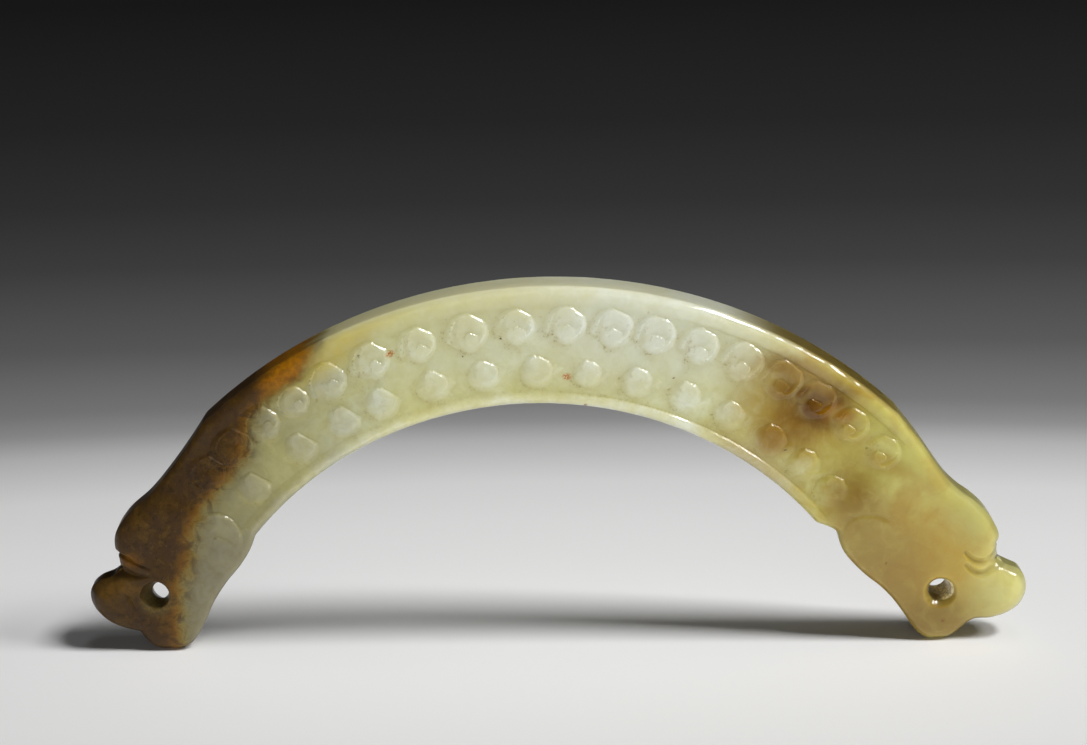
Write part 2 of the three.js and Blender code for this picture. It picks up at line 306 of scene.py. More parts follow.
# Places on a head are shares of its reach from its root under the arch, and of its height: up to 1 from
# the sole to the root, and above 1 from the root to the neck, where the head leaves the outer arc.
heads = {
    "left": {
        "side": -1, "reach": 19.88, "rootHeight": 14.35, "neck": (0.271, 1.969),
        "profile": (
            (0.36, 1.785), (0.48, 1.56), (0.617, 1.335), (0.75, 1.17), (0.822, 1.02), (0.832, 0.9),
            (0.812, 0.807), (0.812, 0.715), (0.857, 0.64), (0.934, 0.6), (0.99, 0.532), (1, 0.44),
            (0.97, 0.33), (0.893, 0.232), (0.796, 0.181), (0.715, 0.155),
        ),
        "chin": ((0.684, 0.084), (0.633, 0.019), (0.577, 0)),
        "jaw": (
            (0.485, 0), (0.425, 0.038), (0.367, 0.135), (0.316, 0.268), (0.265, 0.42), (0.184, 0.593),
            (0.097, 0.74), (0.036, 0.875), (0, 1),
        ),
        "notches": (((0.835, 0.852), 1.0), ((0.825, 0.705), 1.05)),
        "bore": (0.592, 0.515),
        "drill": {"waist": 1.0, "mouth": 1.75, "coneDepth": 2.6, "tilt": -8, "turn": -6, "lower": 0.6},
        "eye": (0.235, 0.985), "eyeRelief": 1, "eyeTilt": -12,
    },
    "right": {
        "side": 1, "reach": 25.01, "rootHeight": 15.05, "neck": (0.366, 1.878),
        "profile": (
            (0.469, 1.658), (0.552, 1.458), (0.608, 1.33), (0.668, 1.232), (0.732, 1.153), (0.788, 1.066),
            (0.832, 0.96), (0.86, 0.854), (0.854, 0.781), (0.856, 0.704), (0.876, 0.631), (0.92, 0.59),
            (0.968, 0.551), (0.997, 0.465), (1, 0.36), (0.968, 0.25), (0.904, 0.183), (0.836, 0.16),
            (0.76, 0.156), (0.724, 0.126),
        ),
        "chin": ((0.684, 0.06), (0.644, 0.013), (0.612, 0)),
        "jaw": (
            (0.544, 0), (0.512, 0.027), (0.473, 0.096), (0.425, 0.219), (0.369, 0.349), (0.309, 0.455),
            (0.241, 0.548), (0.181, 0.648), (0.133, 0.751), (0.111, 0.837), (0.097, 0.92), (0, 1),
        ),
        "notches": (((0.866, 0.794), 0.85), ((0.874, 0.66), 0.95)),
        "bore": (0.588, 0.428),
        "drill": {"waist": 1.36, "mouth": 1.95, "coneDepth": 0.68, "tilt": 2, "turn": 0, "lower": 0},
        "eye": (0.265, 0.9), "eyeRelief": 0.12, "eyeTilt": 45,
    },
}

holes = {"coneInset": 0.15, "overrun": 1.0, "sides": 64, "notchWidth": 0.8}


def arcCentre(arc):
    return np.array((arc["offset"], arc["top"] - arc["radius"]))


outerCentre, outerRadius = arcCentre(stone["outerArc"]), stone["outerArc"]["radius"]
innerCentre, innerRadius = arcCentre(stone["innerArc"]), stone["innerArc"]["radius"]


def onCircle(centre, radius, degrees):
    # degrees run clockwise from the circle's top
    turn = np.radians(degrees)
    return np.stack((centre[0] + radius * np.sin(turn), centre[1] + radius * np.cos(turn)), axis=-1)


def smoothThrough(points, spacing):
    # a centripetal Catmull-Rom curve through the points, sampled at about the spacing
    points = np.array(points, float)
    points = np.vstack((2 * points[0] - points[1], points, 2 * points[-1] - points[-2]))
    line = []
    for a, b, c, d in zip(points, points[1:], points[2:], points[3:]):
        ab, bc, cd = (max(math.dist(p, q) ** 0.5, 1e-6) for p, q in ((a, b), (b, c), (c, d)))
        leave = ((b - a) / ab - (c - a) / (ab + bc) + (c - b) / bc) * bc
        arrive = ((c - b) / bc - (d - b) / (bc + cd) + (d - c) / cd) * bc
        steps = max(round(math.dist(b, c) / spacing), 1)
        t = np.arange(steps)[:, None] / steps
        line.append(
            (2 * t**3 - 3 * t**2 + 1) * b + (t**3 - 2 * t**2 + t) * leave
            + (3 * t**2 - 2 * t**3) * c + (t**3 - t**2) * arrive
        )
    return np.vstack((*line, points[-2][None]))


def settleHead(head):
    # works out where the head's root and neck lie on the arcs
    turn = math.degrees(math.acos((head["rootHeight"] - innerCentre[1]) / innerRadius))
    head["rootAngle"] = head["side"] * turn
    head["root"] = onCircle(innerCentre, innerRadius, head["rootAngle"])
    neckX = head["root"][0] + head["side"] * head["neck"][0] * head["reach"]
    head["neckAngle"] = math.degrees(math.asin((neckX - outerCentre[0]) / outerRadius))
    head["neckPlace"] = onCircle(outerCentre, outerRadius, head["neckAngle"])
    head["upperHeight"] = (head["neckPlace"][1] - head["rootHeight"]) / (head["neck"][1] - 1)


def onHead(head, share):
    height = min(share[1], 1) * head["rootHeight"] + max(share[1] - 1, 0) * head["upperHeight"]
    return np.array((head["root"][0] + head["side"] * share[0] * head["reach"], height))


def lineOnHead(head, places, start=()):
    return smoothThrough([*start] + [onHead(head, share) for share in places], stone["step"])


def headOutline(head):
    profile = lineOnHead(head, head["profile"], [head["neckPlace"]])
    chin = lineOnHead(head, head["chin"], [profile[-1]])
    return np.vstack((profile, chin[1:], lineOnHead(head, head["jaw"])))


def arcPoints(centre, radius, start, end):
    count = round(math.radians(abs(end - start)) * radius / stone["step"])
    return onCircle(centre, radius, np.linspace(start, end, count))


def stoneOutline():
    left, right = heads["left"], heads["right"]
    top = arcPoints(outerCentre, outerRadius, left["neckAngle"], right["neckAngle"])
    low = arcPoints(innerCentre, innerRadius, right["rootAngle"], left["rootAngle"])
    return np.vstack((top, headOutline(right)[1:], low[1:], headOutline(left)[::-1][1:-1]))


for head in heads.values():
    settleHead(head)
outline = stoneOutline()


# The blank: the outline filled, pulled to its thickness, its edges rounded, then notched and drilled

def cutAway(body, cutter):
    applyModifier(body, "BOOLEAN", operation="DIFFERENCE", solver="EXACT", object=cutter)
    bpy.data.objects.remove(cutter, do_unlink=True)


def boreMiddle(head):
    # the drill may come in a little lower than the hole's place on the head
    return onHead(head, head["bore"]) - (0, head["drill"]["lower"])


def drill(body, head):
    # a straight hole, then a cone at each face, all along the hole's own slightly slanting line
    place, bit = boreMiddle(head), head["drill"]
    half, over, inward = stone["halfThickness"], holes["overrun"], holes["coneInset"]
    flare = (bit["mouth"] - bit["waist"]) / bit["coneDepth"]
    coneLength = bit["coneDepth"] + inward / flare + over
    turned = Matrix.Rotation(math.radians(bit["turn"]), 4, "Z")
    along = turned @ Matrix.Rotation(math.radians(90 + bit["tilt"]), 4, "X")
    middle = Matrix.Translation((place[0] * mm, 0, place[1] * mm))
    deselectAll()
    bpy.ops.mesh.primitive_cylinder_add(
        vertices=holes["sides"], radius=bit["waist"] * mm, depth=2 * (half + over) * mm,
    )
    straight = bpy.context.active_object
    straight.matrix_world = middle @ along
    cutAway(body, straight)
    for end in (0, 1):
        deselectAll()
        bpy.ops.mesh.primitive_cone_add(
            vertices=holes["sides"] + 3, depth=coneLength * mm,
            radius1=(bit["waist"] - inward) * mm, radius2=(bit["mouth"] + flare * over) * mm,
        )
        cone = bpy.context.active_object
        facing = Matrix.Rotation(math.pi * end, 4, "X")
        outward = Matrix.Translation((0, 0, (half + over - coneLength / 2) * mm))
        cone.matrix_world = middle @ along @ facing @ outward
        cutAway(body, cone)


def nick(body, head, share, deep):
    # a three-sided bar through the edge of the snout, its edge pointing into the stone
    mouth = onHead(head, share)
    reach = deep + holes["overrun"]
    wide = holes["notchWidth"] * reach / deep / 2
    deselectAll()
    length = 2 * (stone["halfThickness"] + holes["overrun"])
    bpy.ops.mesh.primitive_cylinder_add(vertices=3, radius=reach * mm, depth=length * mm)
    bar = bpy.context.active_object
    x, y, z = readPoints(bar.data).T
    tip = y > 0
    across = mouth[0] + head["side"] * np.where(tip, -deep, holes["overrun"])
    upright = mouth[1] + np.where(tip, 0, np.copysign(wide, x))
    writePoints(bar.data, np.stack((across, -z, upright), axis=1))
    activate(bar)
    setMode("EDIT")
    normalsOut()
    setMode("OBJECT")
    cutAway(body, bar)


def makeBlank():
    half = stone["halfThickness"]
    deselectAll()
    bpy.ops.mesh.primitive_circle_add(vertices=len(outline), radius=outerRadius * mm, fill_type="NGON")
    blank = bpy.context.active_object
    blank.name = "jade_stone"
    writePoints(blank.data, np.insert(outline, 1, -half, axis=1))
    setMode("EDIT")
    selectMesh("SELECT")
    bpy.ops.mesh.extrude_region_move(TRANSFORM_OT_translate={"value": (0, 2 * half * mm, 0)})
    normalsOut()
    selectMesh("DESELECT")
    bpy.ops.mesh.select_mode(type="EDGE")
    shape = bmesh.from_edit_mesh(blank.data)
    for edge in shape.edges:
        a, b = edge.verts
        edge.select = bool(abs(a.co.y - b.co.y) < half * mm)
    bmesh.update_edit_mesh(blank.data)
    bpy.ops.mesh.bevel(
        offset=stone["arris"] * mm, segments=stone["arrisSegments"], profile=stone["arrisProfile"],
        clamp_overlap=False,
    )
    bpy.ops.mesh.select_mode(type="VERT")
    setMode("OBJECT")
    for head in heads.values():
        for notch in head["notches"]:
            nick(blank, head, *notch)
        drill(blank, head)
    applyModifier(blank, "REMESH", mode="VOXEL", voxel_size=stone["voxel"] * mm, use_smooth_shade=True)
    return blank


jade = makeBlank()
print("blank ground and drilled:", len(jade.data.polygons), "faces")


# The carving, worked out at every point of the blank as a depth below its face

carving = {
    "depth": 0.28,  # of the sunken field
    "outerBorder": 1.9,
    "innerBorder": 1.3,
    # Where each border falls away, in mm from its line, and the degrees over which soft turns to crisp
    "softStep": (-1.4, 0.6), "crispStep": (-1.2, 0.6), "crispAngles": (14, 24),
    "softInnerStep": (-0.7, 0.7), "innerStep": (-0.06, 0.2), "innerAngles": (-2, 8),
    "incisedLine": {"place": 0.1, "width": 0.15, "depth": 0.09, "from": (13, 19), "to": (44, 48)},
    "endSlope": {-1: 3, 1: 5},  # the field runs out softly towards the heads
    "fieldEnd": {-1: 53, 1: 48},  # degrees from the arch's top
    "reachDown": (1.3, 2.55),  # how far round the edge a cut at the rim still bites
    "settle": 2,  # smoothing rounds before carving
    "frontBand": 0.3,  # how deep the points of the front face may lie
    "steep": 0.4, "steepProbe": 0.06,
    "rimWear": 0.2, "rimWidth": 1.8, "rimWobble": 0.07, "rimPatch": 1.3,
    "faceWobble": 0.035, "facePatch": 3.5,
}
curls = {
    "radius": 2.35,
    "outerGap": 0.3,
    "innerGap": 0.6,
    # Paths, pads and hollows are in shares of a curl's radius, from its middle
    "outerRow": {
        "crest": 0.62, "tip": 0.5, "tipHeight": 0.6, "bulb": 1.25, "facet": 0.96,
        "pad": (0, 0.02, 0.9, 0.86),  # middle, radius and height
        "hollow": 0.78,  # inside this a crest slopes down to the bulb
        "moat": 0.5,  # depth of the dip round the bulb
        "path": (
            (0.1, -0.42), (0.45, -0.5), (0.74, -0.18), (0.76, 0.25), (0.48, 0.64), (0, 0.79), (-0.5, 0.63),
            (-0.78, 0.2), (-0.83, -0.22),
        ),
        "angles": (
            -47.3, -42.6, -37.9, -33.1, -28.1, -22.3, -16.2, -10, -4.1,
            1.9, 7.6, 12.8, 18.3, 23.9, 29.2, 34.2, 39.6, 45,
        ),
    },
    "innerRow": {
        "crest": 0.86, "tip": 0.6, "tipHeight": 0.3, "bulb": 1.3, "facet": 0.71,
        "pad": (0.16, -0.17, 0.82, 0.9), "hollow": 0, "moat": 0,
        "path": (
            (0.05, 0.13), (-0.3, -0.08), (-0.26, -0.4), (0.08, -0.56), (0.5, -0.46), (0.86, -0.22),
            (1.1, 0.05),
        ),
        "angles": (-45.3, -36.3, -29, -22.8, -15.1, -7.8, -0.3, 7, 14, 21.2, 28.1, 35, 41.2, 46.9),
    },
    "flank": (0.24, 0.85),  # width of the slope at the edge of a crest, and what wear adds to it
    "bulbFlank": (0.15, 0.8),
    "bulbFall": 0.15,  # how far a bulb's rim lies below its middle
    "innerSlope": (0.3, 0.9),  # the inner side of a crest: how far it reaches past the crest, and its width
    "moatWidth": 0.6,
    "wornSide": (-0.545, -0.839),  # the side on which the edges are worn
    "wear": (-0.95, 0.3),
    "facet": (29, 5, 0.9),  # the straight cut at the upper right: degrees, spread, and its place on a bulb
    "handWobble": 0.05,
    "handTurn": 60,  # degrees for a wobble of 1
    "pathStep": 0.12,
}
eyes = {
    "pocket": 3.3, "pocketRim": 0.3, "widerPocket": 1.2, "pocketDepth": 0.85, "pocketWear": 0.75,
    "radius": 3.05, "slope": 0.8, "dish": 0.25, "dishEdge": (0.2, 1.0),
    "least": 1.2,  # a curl this much larger than the rows' curls is an eye
}
soilCuts = {
    "foot": 0.15, "footWidth": 0.3, "least": 0.1, "lee": (-0.2, 0.9), "leeSide": (-0.8, -0.5),
    "cleanAbove": 0.6,  # of a curl's height
    "border": 0.25, "outerBorder": 0.1, "innerBorder": 0.5, "grooveWidth": 0.7,
}
# Cuts on the faces of the heads: half width and depth at each end, soil in them, which in the first and third
# cut on the left head is so dark that it is painted shade, line in shares of the head
grooves = (
    ("left", (0.4, 1.1), (0.15, 1.3), 1.6, ((0.65, 0.675), (0.7, 0.672), (0.76, 0.69), (0.85, 0.71))),
    ("left", (0.35, 0.4), (0.24, 0.1), 0.1, ((0.765, 0.5), (0.735, 0.41), (0.695, 0.29))),
    ("left", (0.3, 0.5), (0.12, 0.6), 1.2, ((0.63, 0.74), (0.7, 0.78), (0.76, 0.83), (0.85, 0.855))),
    ("right", (0.45, 1.1), (0.22, 0.75), 0.2, (
        (0.7, 0.74), (0.735, 0.684), (0.784, 0.66), (0.83, 0.68), (0.87, 0.73))),
    ("right", (0.45, 1.0), (0.18, 0.7), 0.2, (
        (0.705, 0.64), (0.739, 0.59), (0.78, 0.568), (0.82, 0.6), (0.875, 0.66))),
    ("right", (0.5, 0.55), (0.05, 0.06), 0.0, (
        (0.118, 0.932), (0.154, 1.03), (0.218, 1.07), (0.283, 1.06), (0.33, 1.026))),
)
# Roundness of the heads' faces, most at the snout
pillow = {"deep": 0.6, "snoutDeep": 1.4, "snoutFrom": 0.75, "width": 3.2, "curve": 2.5, "fadeIn": 6}
edgeFace = {"lean": (0.3, 0.85), "width": (0.9, 1.3)}  # how far its normals may lean, and its border in mm
slopes = {"faceFrom": 2.0, "inside": 1.0, "probe": 0.03, "boreRim": 0.4}  # in mm


def patches(points, size, seed):
    # smooth random values from -1 to 1 that change over about the given size
    grid = np.random.default_rng(seed).uniform(-1, 1, (32, 32, 32))
    base = np.floor(points / size).astype(int)
    t = points / size - base
    t = t * t * (3 - 2 * t)
    value = np.zeros(len(points))
    for corner in np.ndindex(2, 2, 2):
        weight = np.prod(np.where(corner, t, 1 - t), axis=1)
        value += weight * grid[tuple(((base + corner) % 32).T)]
    return value


def distanceToLine(points, line):
    # distance to a run of short straight stretches, and the share of its length at the nearest place
    best = np.full(len(points), 1e9)
    share = np.zeros(len(points))
    for i, (a, b) in enumerate(zip(line, line[1:])):
        run = b - a
        t = np.clip(((points - a) @ run) / max(run @ run, 1e-12), 0, 1)
        away = lengths(points - a - t[:, None] * run)
        nearer = away < best
        best = np.where(nearer, away, best)
        share = np.where(nearer, (i + t) / (len(line) - 1), share)
    return best, share


def distanceToEdge(points):
    # distance to the stone's outline, in blocks so that memory stays small
    ring = np.vstack((outline, outline[:1]))
    starts, runs = ring[:-1], np.diff(ring, axis=0)
    lengths = np.maximum((runs**2).sum(1), 1e-12)
    out = np.empty(len(points))
    for i in range(0, len(points), 4000):
        block = points[i:i + 4000, None, :] - starts[None]
        t = np.clip((block * runs).sum(2) / lengths, 0, 1)
        out[i:i + 4000] = np.sqrt(((block - t[..., None] * runs) ** 2).sum(2).min(1))
    return out


def curlList():
    # every curl: centre, turn in degrees, radius, height and form
    found, radius = [], curls["radius"]
    outerRow = outerRadius - carving["outerBorder"] - curls["outerGap"] - radius
    innerRow = innerRadius + carving["innerBorder"] + curls["innerGap"] + radius
    for name, centre, rowRadius in (("outerRow", outerCentre, outerRow), ("innerRow", innerCentre, innerRow)):
        for angle in curls[name]["angles"]:
            found.append((onCircle(centre, rowRadius, angle), angle, radius, 1, curls[name]))
    for head in heads.values():
        place = onHead(head, head["eye"])
        found.append((place, head["eyeTilt"], eyes["radius"], head["eyeRelief"], curls["outerRow"]))
    return found


def wornShare(away):
    # 1 on the side whose edges are soft with wear, 0 where they are crisp
    towards = away @ np.array(curls["wornSide"]) / np.maximum(lengths(away), 1e-6)
    return smoothStep(*curls["wear"], towards)


def oneCurl(points, centre, angle, radius, relief, form, wobble):
    # how high a curl stands at the points around it, and the soil at its foot
    turn = math.radians(-angle + curls["handTurn"] * (wobble[1] - 1))
    cos, sin = math.cos(turn), math.sin(turn)
    fromCentre = points - centre
    local = fromCentre @ np.array(((cos, -sin), (sin, cos))) / radius
    size = radius / curls["radius"]
    flank = curls["flank"][0] + curls["flank"][1] * wornShare(fromCentre)
    facetTurn, spread, bulbShare = curls["facet"]
    facetTurn = math.radians(facetTurn + spread * (wobble[3] - 1) / curls["handWobble"])
    facetSide = np.array((math.sin(facetTurn), math.cos(facetTurn)))
    facet = form["facet"] * radius - fromCentre @ facetSide
    # the crest, a tapering ridge along the path
    path = smoothThrough(form["path"], curls["pathStep"])
    away, along = distanceToLine(local, path)
    away = away * radius
    width = (form["crest"] + (form["tip"] - form["crest"]) * along) * size * wobble[2]
    past, slope = curls["innerSlope"]
    outside = np.minimum(width - away, facet) / flank
    inside = (width + past - away) / slope
    within = lengths(local) < form["hollow"]
    crest = np.clip(np.where(within, inside, outside), 0, 1) * (1 - (1 - form["tipHeight"]) * along**2)
    # the bulb at the path's start, and the dip round it
    bulbMiddle = centre + np.linalg.inv(((cos, -sin), (sin, cos))).T @ path[0] * radius
    fromBulb = lengths(local - path[0]) * radius
    bulbRadius = form["bulb"] * size
    bulbFacing = wornShare(points - bulbMiddle)
    dome = 1 - curls["bulbFall"] * np.clip(fromBulb / bulbRadius, 0, 1) ** 2
    bulbFacet = bulbShare * bulbRadius - (points - bulbMiddle) @ facetSide
    bulbEdge = np.minimum(bulbRadius - fromBulb, bulbFacet)
    bulbFlank = curls["bulbFlank"][0] + curls["bulbFlank"][1] * bulbFacing
    bulb = dome * np.clip(bulbEdge / bulbFlank, 0, 1)
    dip = form["moat"] * (1 - bulbFacing)
    moat = 1 - dip * np.exp(-(np.maximum(-bulbEdge, 0) / curls["moatWidth"]) ** 2)
    # the pad that fills the middle
    *padMiddle, padRadius, padHeight = form["pad"]
    fromPad = lengths(local - np.array(padMiddle))
    pad = padHeight * moat * np.clip(np.minimum((padRadius - fromPad) * radius, facet) / flank, 0, 1)
    raised = np.maximum(np.maximum(crest, bulb), pad)
    if radius > eyes["least"] * curls["radius"]:
        raised = eyeRelief(raised, bulb, moat, flank, lengths(fromCentre), relief)
    foot = np.minimum(away - width, fromBulb - bulbRadius)
    leeX, leeZ = soilCuts["leeSide"]
    lee = smoothStep(*soilCuts["lee"], leeX * local[:, 0] + leeZ * local[:, 1])
    lee = soilCuts["least"] + (1 - soilCuts["least"]) * lee
    return raised, relief * np.exp(-((foot - soilCuts["foot"]) / soilCuts["footWidth"]) ** 2) * lee


def eyeRelief(raised, bulb, moat, flank, fromMiddle, relief):
    # a full eye is a dished disc with a bulb, a faint one a shallow curl on ground left standing
    pocket, rim = eyes["pocket"], eyes["pocketRim"]
    if relief == 1:
        disc = np.clip((pocket - fromMiddle) / flank, 0, 1)
        dished = 1 - eyes["dish"] * smoothStep(*eyes["dishEdge"], pocket - fromMiddle)
        return np.maximum(bulb, disc * dished * moat)
    return raised * relief + (1 - relief) * (1 - smoothStep(pocket - rim, pocket, fromMiddle))


def raisedForms(points):
    # the height of all curls, 0 on the field's floor and 1 at the stone's face, and the soil at their feet
    height, soil = np.zeros(len(points)), np.zeros(len(points))
    rng = np.random.default_rng(12)
    for centre, angle, radius, relief, form in curlList():
        wobble = 1 + curls["handWobble"] * rng.standard_normal(4)
        radius = radius * wobble[0]
        near = np.flatnonzero(np.abs(points - centre).max(1) < radius * 2)
        raised, rim = oneCurl(points[near], centre, angle, radius, relief, form, wobble)
        height[near] = np.maximum(height[near], raised)
        soil[near] = np.maximum(soil[near] * (raised < soilCuts["cleanAbove"]), rim)
    return height, soil


def sunkenField(points, angle, fromOuter, fromInner):
    # 1 in the sunken band, 0 on the borders and the heads
    crisp = smoothStep(*carving["crispAngles"], angle)
    field = smoothStep(*carving["softStep"], fromOuter) * (1 - crisp)
    field = field + smoothStep(*carving["crispStep"], fromOuter) * crisp
    crispInner = smoothStep(*carving["innerAngles"], angle)
    field = field * (
        ramp(*carving["innerStep"], fromInner) * crispInner
        + smoothStep(*carving["softInnerStep"], fromInner) * (1 - crispInner)
    )
    for side in (-1, 1):
        high = onCircle(outerCentre, outerRadius, side * carving["fieldEnd"][side])
        low = onCircle(innerCentre, innerRadius, side * carving["fieldEnd"][side])
        across = np.array((high[1] - low[1], low[0] - high[0])) / math.dist(high, low) * -side
        field = field * smoothStep(-0.5, 0.5, (points - low) @ across / carving["endSlope"][side])
    return field


def eyePockets(points):
    pocket = np.zeros(len(points))
    for head in heads.values():
        fromEye = points - onHead(head, head["eye"])
        reach = eyes["pocket"] + (0 if head["eyeRelief"] < 1 else eyes["widerPocket"])
        deep = eyes["pocketDepth"] * (1 - eyes["pocketWear"] * wornShare(fromEye))
        slope = smoothStep(-eyes["slope"], 0, lengths(fromEye) - reach)
        pocket = np.maximum(pocket, deep * (1 - slope))
    return pocket


def carve(points):
    # depth below the face at each place, and how much soil lies there, which in the left head's deep hollows
    # is painted shade
    fromOuter = outerRadius - carving["outerBorder"] - lengths(points - outerCentre)
    fromInner = lengths(points - innerCentre) - innerRadius - carving["innerBorder"]
    angle = np.degrees(np.arctan2(points[:, 0] - outerCentre[0], points[:, 1] - outerCentre[1]))
    ground = np.maximum(sunkenField(points, angle, fromOuter, fromInner), eyePockets(points))
    height, soil = raisedForms(points)
    depth = carving["depth"] * ground * (1 - height)
    soil = soil * ground
    wide = soilCuts["border"]
    for fromBorder, lie in ((fromOuter, soilCuts["outerBorder"]), (fromInner, soilCuts["innerBorder"])):
        soil = np.maximum(soil, lie * np.exp(-((fromBorder - wide) / wide) ** 2) * ground)
    line = carving["incisedLine"]
    cut = smoothStep(*line["from"], angle) * (1 - smoothStep(*line["to"], angle))
    depth = depth + line["depth"] * cut * np.exp(-((fromOuter - line["place"]) / line["width"]) ** 2)
    for name, widths, depths, dirt, places in grooves:
        away, along = distanceToLine(points, lineOnHead(heads[name], places))
        width = widths[0] + (widths[1] - widths[0]) * along
        bottom = depths[0] + (depths[1] - depths[0]) * along
        depth = depth + bottom * (1 - smoothStep(0, 1, away / width))
        lie = np.exp(-((away / width) / soilCuts["grooveWidth"]) ** 2)
        # a cut's soil; in the left head's deep hollows it is painted shade
        soil = np.maximum(soil, dirt * bottom / max(depths) * lie)
    return depth, soil


def faceDepth(flat):
    # depth of the carving and the wear, then the rounding of the heads, and the distance to the outline
    depth, _ = carve(flat)
    edge = distanceToEdge(flat)
    rounding = np.zeros(len(flat))
    for head in heads.values():
        outward = head["side"] * (flat[:, 0] - head["neckPlace"][0])
        share = head["side"] * (flat[:, 0] - head["root"][0]) / head["reach"]
        snout = smoothStep(pillow["snoutFrom"], 1, share)
        deep = pillow["deep"] + (pillow["snoutDeep"] - pillow["deep"]) * snout
        fall = np.clip(1 - edge / pillow["width"], 0, 1) ** pillow["curve"]
        rounding += deep * smoothStep(0, pillow["fadeIn"], outward) * fall
    depth += np.clip(1 - edge / carving["rimWidth"], 0, 1) ** 2 * carving["rimWear"]
    return depth, rounding, edge


def refineSteep(piece):
    # splits the faces where the front is carved steeply, and marks them so that thinning spares them
    points = readPoints(piece.data)
    front = np.flatnonzero(points[:, 1] < carving["frontBand"] - stone["halfThickness"])
    flat, step = points[front][:, [0, 2]], carving["steepProbe"]
    level = carve(flat)[0]
    slope = np.hypot(carve(flat + (step, 0))[0] - level, carve(flat + (0, step))[0] - level) / step
    chosen = np.zeros(len(points), bool)
    chosen[front[slope > carving["steep"]]] = True
    piece.vertex_groups.new(name="steep").add(np.flatnonzero(chosen).tolist(), 1.0, "REPLACE")
    activate(piece)
    setMode("EDIT")
    bpy.ops.mesh.select_mode(type="VERT")
    selectMesh("DESELECT")
    setMode("OBJECT")
    piece.data.vertices.foreach_set("select", chosen)
    setMode("EDIT")
    bpy.ops.mesh.subdivide(number_cuts=1)
    setMode("OBJECT")
    print("steep places split:", len(piece.data.polygons), "faces")


def carveStone(piece):
    activate(piece)
    setMode("EDIT")
    selectMesh("SELECT")
    bpy.ops.mesh.vertices_smooth(factor=0.5, repeat=carving["settle"])
    setMode("OBJECT")
    refineSteep(piece)
    points = readPoints(piece.data)
    flat, level = points[:, [0, 2]], np.abs(points[:, 1])
    depth, rounding, edge = faceDepth(flat)
    worn = np.clip(1 - edge / carving["rimWidth"], 0, 1)
    rimWobble = worn * carving["rimWobble"] * patches(points, carving["rimPatch"], 5)
    depth += rimWobble + carving["faceWobble"] * patches(points, carving["facePatch"], 7)
    bite = smoothStep(*carving["reachDown"], level)
    level = level * (1 - rounding / stone["halfThickness"])
    points[:, 1] = np.sign(points[:, 1]) * (level - depth * bite)
    writePoints(piece.data, points)


def keepSlopes(piece):
    # gives the carved faces the carving's own slopes as normals, so that narrow edges still shine
    points = readPoints(piece.data)
    normals = np.zeros(points.shape)
    flat, step = points[:, [0, 2]], slopes["probe"]
    face = np.flatnonzero(np.abs(points[:, 1]) > slopes["faceFrom"])
    depth, rounding, edge = faceDepth(flat[face])
    inside = edge > slopes["inside"]
    face, depth, rounding = face[inside], depth[inside], rounding[inside]
    for axis, shift in ((0, (step, 0)), (2, (0, step))):
        there, thereRounding, _ = faceDepth(flat[face] + shift)
        normals[face, axis] = (there + thereRounding - depth - rounding) / step
    normals[face, 1] = np.sign(points[face, 1])
    normals[face] /= lengths(normals[face])[:, None]
    onBore = np.zeros(len(points), bool)
    for head in heads.values():
        away = lengths(flat - boreMiddle(head))
        onBore |= away < head["drill"]["mouth"] + slopes["boreRim"]
    normals[onBore] = 0
    piece.data.normals_split_custom_set_from_vertices(normals.tolist())


carveStone(jade)
count = sum(len(face.vertices) - 2 for face in jade.data.polygons)
if count > stone["triangles"]:
    applyModifier(
        jade, "DECIMATE", ratio=stone["triangles"] / count,
        vertex_group="steep", invert_vertex_group=True, vertex_group_factor=1.0,
    )
activate(jade)
bpy.ops.object.shade_smooth()
keepSlopes(jade)


def edgeShare(mesh):
    # 1 on the stone's edge face, 0 on its carved faces
    turned = 1 - smoothStep(*edgeFace["lean"], np.abs(readVectors(mesh.vertex_normals, "vector")[:, 1]))
    side = np.flatnonzero(turned)
    turned[side] *= 1 - smoothStep(*edgeFace["width"], distanceToEdge(readPoints(mesh)[side][:, [0, 2]]))
    return turned


depthAt, soilAt = carve(readPoints(jade.data)[:, [0, 2]])
edgeAt = edgeShare(jade.data)
soilAt = soilAt * (1 - edgeAt)
sunkAt = depthAt / carving["depth"] * (1 - edgeAt)
for attribute, values in (("soil", soilAt), ("sunk", sunkAt), ("edge", edgeAt)):
    jade.data.attributes.new(attribute, "FLOAT", "POINT").data.foreach_set("value", values)
print("stone carved:", len(jade.data.polygons), "faces")


# The finish: nephrite with honey stains, russet skin at one end, and soil in the cuts, with some painted
# light and painted shade. Colours are as a picker shows them, 0 to 255, and lengths are in mm.

finish = {
    # the grey-green at the left end is partly the stone's own tone and partly painted shade
    "milk": (212, 215, 194), "celadon": (202, 200, 154), "greyGreenAndPaintedShade": (122, 116, 90),
    "lemon": (192, 185, 108), "amber": (168, 138, 58),
    "ground": (254, 253, 230),  # tints the sunken ground
    "mottles": ((244, 242, 232), (255, 255, 255)),
    "soil": (124, 104, 52), "stainedGround": (186, 176, 116),
    "darkSoilAndShade": (34, 25, 12),  # in the cuts of the skin, and painted shade in the left head's deep hollows
    # In the skin
    "darkMottle": (58, 42, 30), "tanMottle": (96, 70, 28),
    "darkGrain": (38, 28, 16), "tanGrain": (116, 88, 40),
    "groundStain": 0.3, "holeDirt": 0.55,
    "roughness": 0.35, "bodyShine": 0.08, "bodyIndex": 1.6,
    "gloss": 0.9,  # polish on the clean stone
    "skinGloss": 0.12, "glossRoughness": 0.09, "glossIndex": 1.55,
    "soilDulls": 0.6, "holeDulls": 0.7, "edgeDulls": 0.5,
    "deepening": 0.77,  # the tones above times this are the stone's own colour
    "scatterDepth": 0.005,  # metres
    "scatterColours": (1.0, 0.93, 0.78),
    "bareClearness": 0.5,  # least share of the depth away from the skin
    "waveDepth": 0.1, "waveStrength": 0.4,
}
